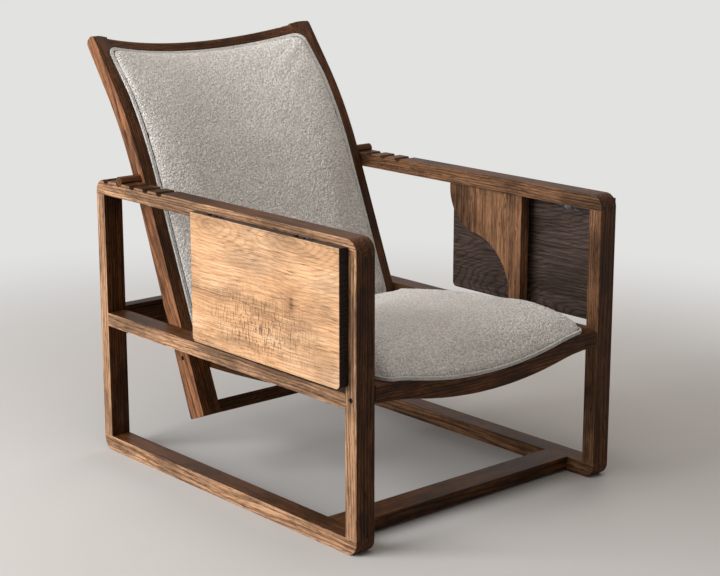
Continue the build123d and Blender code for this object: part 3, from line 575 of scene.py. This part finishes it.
def finished_oak(tree, shader, tone, pores, light, dark, stained):
    """Colour, gloss and relief of waxed oak over its figure."""
    base = blend(tree, tone, dark, light)
    filled = blend(tree, 0.65, dark, (0.0, 0.0, 0.0))
    base = blend(tree, calc(tree, "MULTIPLY", pores, 0.8), base, filled)
    base = blend(tree, 1.0, base, stained, "MULTIPLY")
    tree.links.new(base, shader.inputs["Base Color"])
    set_input(tree, shader.inputs["Roughness"], calc(tree, "MULTIPLY_ADD", tone, 0.14, 0.40))
    shader.inputs["Specular IOR Level"].default_value = 0.10
    height = calc(tree, "SUBTRACT", calc(tree, "MULTIPLY", tone, 0.5), pores)
    tree.links.new(relief(tree, height, 0.35, 0.3 * MM), shader.inputs["Normal"])


def patchy(tree, vector, strength):
    """Uneven stain and handling dirt, as a grey to multiply by."""
    cloud = noise(tree, vector, (6.0, 14.0, 14.0), 5.0, 0.62)
    return fade(tree, cloud, 0.38, 0.56, 1.0 - strength, 1.0)


def worn_edges(tree):
    """1 along the arrises, where the finish has rubbed through."""
    rounded = node(tree, "ShaderNodeBevel", {"Radius": 2.2 * MM}, samples=4)
    normal = node(tree, "ShaderNodeNewGeometry", output=1)
    turn = dot(tree, rounded, normal)
    ragged = noise(tree, object_place(tree), 60.0, 4.0, 0.7)
    return calc(tree, "MULTIPLY", fade(tree, turn, 0.99, 0.86), fade(tree, ragged, 0.42, 0.62))


# Light and dark tone of each wood
STAINED = ((0.175, 0.064, 0.021), (0.008, 0.004, 0.002))
# Outer-face tones: sun-faded oak, painted lighter still as painted light for the window's sheen.
# FADED_AND_PAINTED_LIGHT is also the rubbed edges' colour.
FADED_AND_PAINTED_LIGHT = ((0.64, 0.362, 0.196), (0.110, 0.050, 0.026))
HALF_FADED_AND_PAINTED_LIGHT = ((0.38, 0.160, 0.070), (0.040, 0.014, 0.007))
# The leaves' outer faces: bleached oak, painted pale partly as painted light for the window's
# sheen.
LEAF_OUTER = ((0.79, 0.465, 0.244), (0.42, 0.215, 0.105))
LEAF_BLEACHED = (0.85, 0.580, 0.360)
KNOT_TINT = (0.42, 0.190, 0.095)
LEAF_INNER = ((0.128, 0.084, 0.066), (0.011, 0.008, 0.008))
BRACKET = ((0.38, 0.185, 0.088), (0.042, 0.019, 0.012))
PIN_SHARE = 0.35

# A leaf's middle and outer face across the chair, and a depth right through the board
LEAF_MIDDLE = 0.336
LEAF_FACE = 0.346
LEAF_THROUGH = 0.1


def oak(name, axis, seed, stain=STAINED, faded=STAINED, outward=0.0):
    """Stained oak along one axis, painted lighter on its outer side and a little on its inner
    one.
    """
    material, tree, shader = new_material(name)
    vector = swayed(tree, grain_place(tree, axis, seed), 12 * MM)
    shade = growth_rings(tree, vector, across_grain(tree, vector), 4.5 * MM)
    tone, pores = oak_figure(tree, vector, shade)
    # Outer faces lighter, inner faces a little: partly sun-fading, partly painted light for the
    # window's sheen on them.
    aspect = facing(tree, (outward, 0.0, 0.0))
    faded_and_lit = calc(tree, "MAXIMUM", fade(tree, aspect, 0.35, 0.85),
                    fade(tree, aspect, -0.35, -0.85, 0.0, 0.28))
    light = blend(tree, faded_and_lit, stain[0], faded[0])
    dark = blend(tree, faded_and_lit, stain[1], faded[1])
    rubbed = calc(tree, "MULTIPLY", worn_edges(tree), 0.4)
    light = blend(tree, rubbed, light, FADED_AND_PAINTED_LIGHT[0])
    finished_oak(tree, shader, tone, pores, light, dark, patchy(tree, vector, 0.5))
    return material


def near(tree, place, centre, size):
    """1 at a spot of the object, falling to 0 at its rim."""
    offset = scaled(tree, shifted(tree, place, centre), tuple(1 / s for s in size))
    return fade(tree, length_of(tree, offset), 1.0, 0.0)


def leaf_rings(tree, place, grain, side, knot, arcs):
    """Wavy coordinates that bend round the knot, and rings round the centre of each arc."""
    step = drift(tree, place, (9.0, 9.0, 14.0), 3.0, (0.0, 60 * MM, 20 * MM))
    wavy = added(tree, place, step)
    knotted = near(tree, place, (side * LEAF_MIDDLE, *knot), (LEAF_THROUGH, 0.055, 0.032))
    push = node(tree, "ShaderNodeCombineXYZ", {2: calc(tree, "MULTIPLY", knotted, 11 * MM)})
    wavy = added(tree, wavy, push)
    from_arcs = [length_of(tree, scaled(tree, shifted(tree, wavy, (0.0, *arc)), (0.0, 0.32, 1.0)))
                 for arc in arcs]
    distance = calc(tree, "SMOOTH_MIN", *from_arcs, 20 * MM)
    return wavy, growth_rings(tree, grain, distance, 7 * MM)


def leaf_wear(tree, place, side):
    """Scuffs and spots where hands and cups have been, and dirt at the lower rear corner."""
    handled = near(tree, place, (side * LEAF_FACE, -0.22, 0.37), (LEAF_THROUGH, 0.24, 0.10))
    scuff = noise(tree, place, (300.0, 300.0, 45.0), 4.0, 0.6)
    spots = noise(tree, place, 230.0, 3.0, 0.6)
    marks = calc(tree, "MAXIMUM", fade(tree, scuff, 0.50, 0.62), fade(tree, spots, 0.58, 0.66))
    marks = calc(tree, "MULTIPLY", marks, calc(tree, "MULTIPLY_ADD", handled, 0.8, 0.12))
    rear = near(tree, place, (side * LEAF_FACE, -0.06, 0.31), (LEAF_THROUGH, 0.10, 0.05))
    dirt = calc(tree, "MULTIPLY", rear, fade(tree, spots, 0.4, 0.7, 0.1, 0.6))
    return calc(tree, "MAXIMUM", marks, dirt)


def leaf_faults(tree, place, wavy, rings, side, knot, crack):
    """The knot's heart, and a crack along the grain from the rear end of the board."""
    heart = near(tree, place, (side * LEAF_FACE, *knot), (0.03, 0.011, 0.026))
    heart = calc(tree, "MULTIPLY", heart, fade(tree, rings, 1.0, 0.0, 0.55, 1.0))
    line = calc(tree, "ABSOLUTE", calc(tree, "SUBTRACT", split(tree, wavy, "Z"), crack))
    length = fade(tree, split(tree, place, "Y"), -0.15, -0.10)
    split_line = calc(tree, "MULTIPLY", fade(tree, line, 1.1 * MM, 0.3 * MM), length)
    return calc(tree, "MAXIMUM", heart, split_line)


def leaf_oak(name, side, knot, arcs, crack):
    """Flat-sawn oak board: cathedral rings, a knot and a crack outside, dark stain inside."""
    material, tree, shader = new_material(name)
    place = object_place(tree)
    grain = swayed(tree, grain_place(tree, "y", 2.0 + side), 4 * MM)
    wavy, rings = leaf_rings(tree, place, grain, side, knot, arcs)
    tone, pores = oak_figure(
        tree, scaled(tree, grain, (0.6, 1.4, 1.4)), fade(tree, rings, 0.0, 1.0, 0.3, 1.0))
    # The outer face is painted far paler than the inner one: partly bleached wood, partly painted
    # light for the window's sheen on it.
    outer = fade(tree, facing(tree, (side, 0.0, 0.0)), 0.5, 0.9)
    cloud = noise(tree, place, (7.0, 5.0, 11.0), 4.0, 0.6)
    pale = blend(tree, fade(tree, cloud, 0.40, 0.68), LEAF_OUTER[0], LEAF_BLEACHED)
    above_knot = (side * LEAF_FACE, knot[0], knot[1] + 8 * MM)
    tinted = near(tree, wavy, above_knot, (LEAF_THROUGH, 0.024, 0.040))
    pale = blend(tree, calc(tree, "MULTIPLY", tinted, 0.6), pale, KNOT_TINT)
    light = blend(tree, outer, LEAF_INNER[0], pale)
    dark = blend(tree, outer, LEAF_INNER[1], LEAF_OUTER[1])
    worn = calc(tree, "MULTIPLY", leaf_wear(tree, place, side), outer)
    faults = leaf_faults(tree, place, wavy, rings, side, knot, crack)
    marks = calc(tree, "MAXIMUM", worn, faults)
    up = split(tree, place, "Z")
    end_grain = calc(tree, "ABSOLUTE", facing(tree, (0.0, 1.0, 0.0)))
    shade = patchy(tree, grain, 0.3)
    for cover in (fade(tree, marks, 0.0, 1.0, 1.0, 0.25),
                  fade(tree, up, 0.50, 0.55, 1.0, 0.75),
                  fade(tree, end_grain, 0.5, 0.9, 1.0, 0.35)):
        shade = calc(tree, "MULTIPLY", shade, cover)
    finished_oak(tree, shader, tone, pores, light, dark, shade)
    return material


def bracket_oak(name, seed, joints):
    """Boards of warm oak glued edge to edge, with thin dark joints."""
    material, tree, shader = new_material(name)
    vector = swayed(tree, grain_place(tree, "z", seed), 24 * MM)
    across = split(tree, object_place(tree), "Y")
    ring_shade = growth_rings(tree, vector, across_grain(tree, vector), 7 * MM)
    tone, pores = oak_figure(tree, vector, fade(tree, ring_shade, 0.0, 1.0, 0.45, 1.0))
    shade = patchy(tree, vector, 0.6)
    for joint in joints:
        line = calc(tree, "ABSOLUTE", calc(tree, "SUBTRACT", across, joint))
        shade = calc(tree, "MULTIPLY", shade, fade(tree, line, 0.4 * MM, 1.3 * MM, 0.25, 1.0))
    light = blend(tree, calc(tree, "MULTIPLY", worn_edges(tree), 0.3), BRACKET[0], FADED_AND_PAINTED_LIGHT[0])
    finished_oak(tree, shader, tone, pores, light, BRACKET[1], shade)
    return material


# Cloth and metal

WOOL = ((0.84, 0.80, 0.745), (0.50, 0.46, 0.415))
CORD = ((0.84, 0.81, 0.76), (0.60, 0.57, 0.53))
LINING = (0.36, 0.33, 0.28)
STEEL = ((0.035, 0.033, 0.034), (0.17, 0.165, 0.165))


def boucle(name, light, dark, nub):
    """Looped wool: round soft loops with shaded gaps, and finer curls on them."""
    material, tree, shader = new_material(name)
    place = object_place(tree)
    tangle = scaled(tree, noise(tree, place, 150.0, 2.0, output=1), 7 * MM)
    place = added(tree, place, tangle)
    loops = node(tree, "ShaderNodeTexVoronoi", {
        "Vector": place, "Scale": 1 / nub, "Randomness": 1.0})
    curl = noise(tree, place, 620.0, 3.0, 0.65)
    fleck = noise(tree, place, 0.9 / nub, 2.0, 0.6)
    patch = noise(tree, place, 11.0, 3.0, 0.6)
    round_top = calc(tree, "SUBTRACT", 1.0, calc(tree, "POWER", loops, 1.6))
    height = calc(tree, "MULTIPLY_ADD", curl, 0.5, round_top)
    shade = blend(tree, fade(tree, fleck, 0.36, 0.62), dark, light)
    shade = blend(tree, 1.0, shade, fade(tree, patch, 0.3, 0.7, 0.92, 1.0), "MULTIPLY")
    tree.links.new(shade, shader.inputs["Base Color"])
    shader.inputs["Roughness"].default_value = 0.95
    shader.inputs["Specular IOR Level"].default_value = 0.12
    shader.inputs["Sheen Weight"].default_value = 0.3
    shader.inputs["Sheen Roughness"].default_value = 0.55
    tree.links.new(relief(tree, height, 1.0, 2.2 * MM), shader.inputs["Normal"])
    return material


def canvas(name, colour):
    """Plain woven lining cloth."""
    material, tree, shader = new_material(name)
    place = object_place(tree)
    threads = [node(tree, "ShaderNodeTexWave", {
        "Vector": place, "Scale": 150.0, "Distortion": 0.8, "Detail": 1.0}, output=1,
        wave_type="BANDS", bands_direction=axis) for axis in "XZ"]
    weave = calc(tree, "MULTIPLY", *threads)
    patch = noise(tree, place, 15.0)
    tone = calc(tree, "MULTIPLY_ADD", weave, 0.55, calc(tree, "MULTIPLY", patch, 0.6))
    shade = blend(tree, tone, tuple(c * 0.5 for c in colour), colour)
    tree.links.new(shade, shader.inputs["Base Color"])
    shader.inputs["Roughness"].default_value = 0.92
    tree.links.new(relief(tree, weave, 0.5, 0.5 * MM), shader.inputs["Normal"])
    return material


def old_steel(name):
    """Blackened steel, rubbed brighter in places."""
    material, tree, shader = new_material(name)
    place = object_place(tree)
    tarnish = noise(tree, place, 90.0, 4.0, 0.6)
    scratch = noise(tree, place, (900.0, 60.0, 900.0), 2.0)
    shade = blend(tree, fade(tree, tarnish, 0.4, 0.65), *STEEL)
    tree.links.new(shade, shader.inputs["Base Color"])
    shader.inputs["Metallic"].default_value = 1.0
    set_input(tree, shader.inputs["Roughness"], calc(tree, "MULTIPLY_ADD", tarnish, 0.3, 0.3))
    tree.links.new(relief(tree, scratch, 0.15, 0.2 * MM), shader.inputs["Normal"])
    return material


# Painting the frame's nodes

def repaint(name, material):
    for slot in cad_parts[name].material_slots:
        slot.link = "OBJECT"
        slot.material = material


def paint_wood():
    """Each bar gets its own oak, cut from another place of the log."""
    seed, seed_step = 1.0, 0.731
    # Each bar's outer-face tone: sun-faded oak with painted light for the window's sheen, or
    # plain stain.
    sided = {
        "front_leg": ("z", FADED_AND_PAINTED_LIGHT), "rear_leg": ("z", FADED_AND_PAINTED_LIGHT), "arm_rail": ("y", FADED_AND_PAINTED_LIGHT),
        "mid_rail": ("y", FADED_AND_PAINTED_LIGHT), "floor_runner": ("y", FADED_AND_PAINTED_LIGHT),
        "back_stile": ("stile", HALF_FADED_AND_PAINTED_LIGHT),
        "seat_side_rail": ("y", STAINED), "notch_peg": ("x", STAINED)}
    for name, (axis, faded) in sided.items():
        for side, outward in (("left", -1.0), ("right", 1.0)):
            seed += seed_step
            wood = oak(f"oak_{name}_{side}", axis, seed, faded=faded, outward=outward)
            repaint(f"{name}_{side}", wood)
    for name in ("front_stretcher", "rear_cross_rail", "seat_front_rail", "seat_rear_rail",
                 "back_top_rail", "back_lumbar_rail", "back_bottom_rail"):
        seed += seed_step
        repaint(name, oak(f"oak_{name}", "x", seed))
    pin_stain = tuple(tuple(c * PIN_SHARE for c in tone) for tone in STAINED)
    for name in ("seat_pivot_pins", "back_pivot_pins"):
        repaint(name, oak(f"oak_{name}", "x", seed, pin_stain, pin_stain))
    for side in ("left", "right"):
        pintle_wood = oak(f"oak_pintles_{side}", "z", seed, pin_stain, pin_stain)
        repaint(f"bracket_pintles_{side}", pintle_wood)
        board_wood = bracket_oak(f"oak_bracket_{side}", seed=4.3, joints=(-0.076, -0.137))
        repaint(f"leaf_bracket_{side}", board_wood)
    repaint("table_leaf_left", leaf_oak(
        "oak_leaf_left", -1.0, knot=(-0.3137, 0.428),
        arcs=((-0.308, 0.543), (-0.090, 0.534)), crack=0.407))
    repaint("table_leaf_right", leaf_oak(
        "oak_leaf_right", 1.0, knot=(-0.147, 0.392),
        arcs=((-0.190, 0.556), (-0.390, 0.300)), crack=0.371))


def paint_metal():
    steel = old_steel("steel_hinge")
    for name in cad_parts:
        if "hinge" in name or "washers" in name or "screws" in name:
            repaint(name, steel)


def make_soft_goods():
    """The cushions and their piping, each on its own body, and the cloth behind them."""
    wool = boucle("boucle_wool", *WOOL, 3.3 * MM)
    cord = boucle("boucle_cord", *CORD, 2.2 * MM)
    pad, pad_cord = back_pad(), pad_piping()
    seat, seat_cord = seat_cushion(), seat_piping()
    for piece in (pad, seat):
        remeshed(piece)
    puffed(pad, is_pad_held, 3.0)
    puffed(seat, is_seat_held, 4.0)
    for piece, body, cloth in ((pad, "back", wool), (pad_cord, "back", cord),
                               (seat, "seat", wool), (seat_cord, "seat", cord)):
        piece.data.materials.clear()
        piece.data.materials.append(cloth)
        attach(piece, body)
    for piece in (pad, seat):
        nubbed(piece)
    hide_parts("back_pad")
    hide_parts("seat_cushion")
    lining = canvas("canvas_lining", LINING)
    for name in ("back_lining", "seat_deck"):
        repaint(name, lining)


# Studio

BACKDROP = (0.76, 0.76, 0.75)
AMBIENT = (0.22, 0.21, 0.20)
FLOOR = (0.50, 0.475, 0.455)
FLOOR_REACH = 12.0
LIT_POINT = Vector((0, 0, 0.4))


def area_light(name, place, size, power, colour, glossy=True):
    """A soft rectangle of light that faces the middle of the chair."""
    data = bpy.data.lights.new(name, "AREA")
    data.shape = "RECTANGLE"
    data.size, data.size_y = size
    data.energy = power
    data.color = colour
    obj = bpy.data.objects.new(name, data)
    bpy.context.collection.objects.link(obj)
    obj.location = place
    obj.rotation_euler = (LIT_POINT - Vector(place)).to_track_quat("-Z", "Y").to_euler()
    obj.visible_glossy = glossy


def seen_directly(tree):
    """1 for rays that show the background itself, in the camera, in gloss or through glass."""
    ray = tree.nodes.new("ShaderNodeLightPath")
    shown = calc(tree, "MAXIMUM", ray.outputs["Is Camera Ray"], ray.outputs["Is Glossy Ray"])
    return calc(tree, "MAXIMUM", shown, ray.outputs["Is Transmission Ray"])


def set_world():
    world = bpy.data.worlds.new("studio")
    bpy.context.scene.world = world
    world.use_nodes = True
    tree = world.node_tree
    background = tree.nodes["Background"]
    shade = blend(tree, seen_directly(tree), AMBIENT, BACKDROP)
    tree.links.new(shade, background.inputs["Color"])


def set_floor():
    """A pale floor that passes into the pale background further off."""
    material, tree, shader = new_material("pale_floor")
    shader.inputs["Base Color"].default_value = (*FLOOR, 1)
    shader.inputs["Roughness"].default_value = 0.85
    shader.inputs["Specular IOR Level"].default_value = 0.2
    far = fade(tree, length_of(tree, object_place(tree)), 0.85, 2.2)
    glow = tree.nodes.new("ShaderNodeEmission")
    glow.inputs["Color"].default_value = (*BACKDROP, 1)
    mixed = tree.nodes.new("ShaderNodeMixShader")
    tree.links.new(calc(tree, "MULTIPLY", far, seen_directly(tree)), mixed.inputs[0])
    tree.links.new(shader.outputs[0], mixed.inputs[1])
    tree.links.new(glow.outputs[0], mixed.inputs[2])
    tree.links.new(mixed.outputs[0], tree.nodes["Material Output"].inputs["Surface"])
    mesh = bpy.data.meshes.new("floor")
    corners = [(x * FLOOR_REACH, y * FLOOR_REACH, 0)
               for x, y in ((-1, -1), (1, -1), (1, 1), (-1, 1))]
    mesh.from_pydata(corners, [], [(0, 1, 2, 3)])
    mesh.materials.append(material)
    floor = bpy.data.objects.new("floor", mesh)
    bpy.context.collection.objects.link(floor)


def set_camera():
    """The photograph's viewpoint, worked out from the chair's corners in it."""
    yaw, pitch = 0.7154, 0.2375
    focal_pixels, image_width = 1742.95, 720
    direction = Vector((
        math.sin(yaw) * math.cos(pitch), math.cos(yaw) * math.cos(pitch), -math.sin(pitch)))
    data = bpy.data.cameras.new("camera")
    data.sensor_width = 36.0
    data.lens = focal_pixels * data.sensor_width / image_width
    camera = bpy.data.objects.new("camera", data)
    bpy.context.collection.objects.link(camera)
    camera.location = (-2.1646, front_y - 2.1262, 1.1609)
    camera.rotation_euler = direction.to_track_quat("-Z", "Y").to_euler()
    bpy.context.scene.camera = camera


paint_wood()
paint_metal()
make_soft_goods()
set_world()
set_floor()
set_camera()
area_light("window", (-3.2, 0.9, 1.7), (2.4, 2.2), 178, (0.94, 0.97, 1.0))
area_light("overhead", (-0.5, -0.3, 3.2), (2.6, 2.6), 46, (1.0, 0.96, 0.92))
area_light("far_side", (3.4, 1.6, 1.3), (2.4, 1.8), 55, (1.0, 0.97, 0.94), glossy=False)

bpy.context.scene.view_settings.view_transform = "Standard"
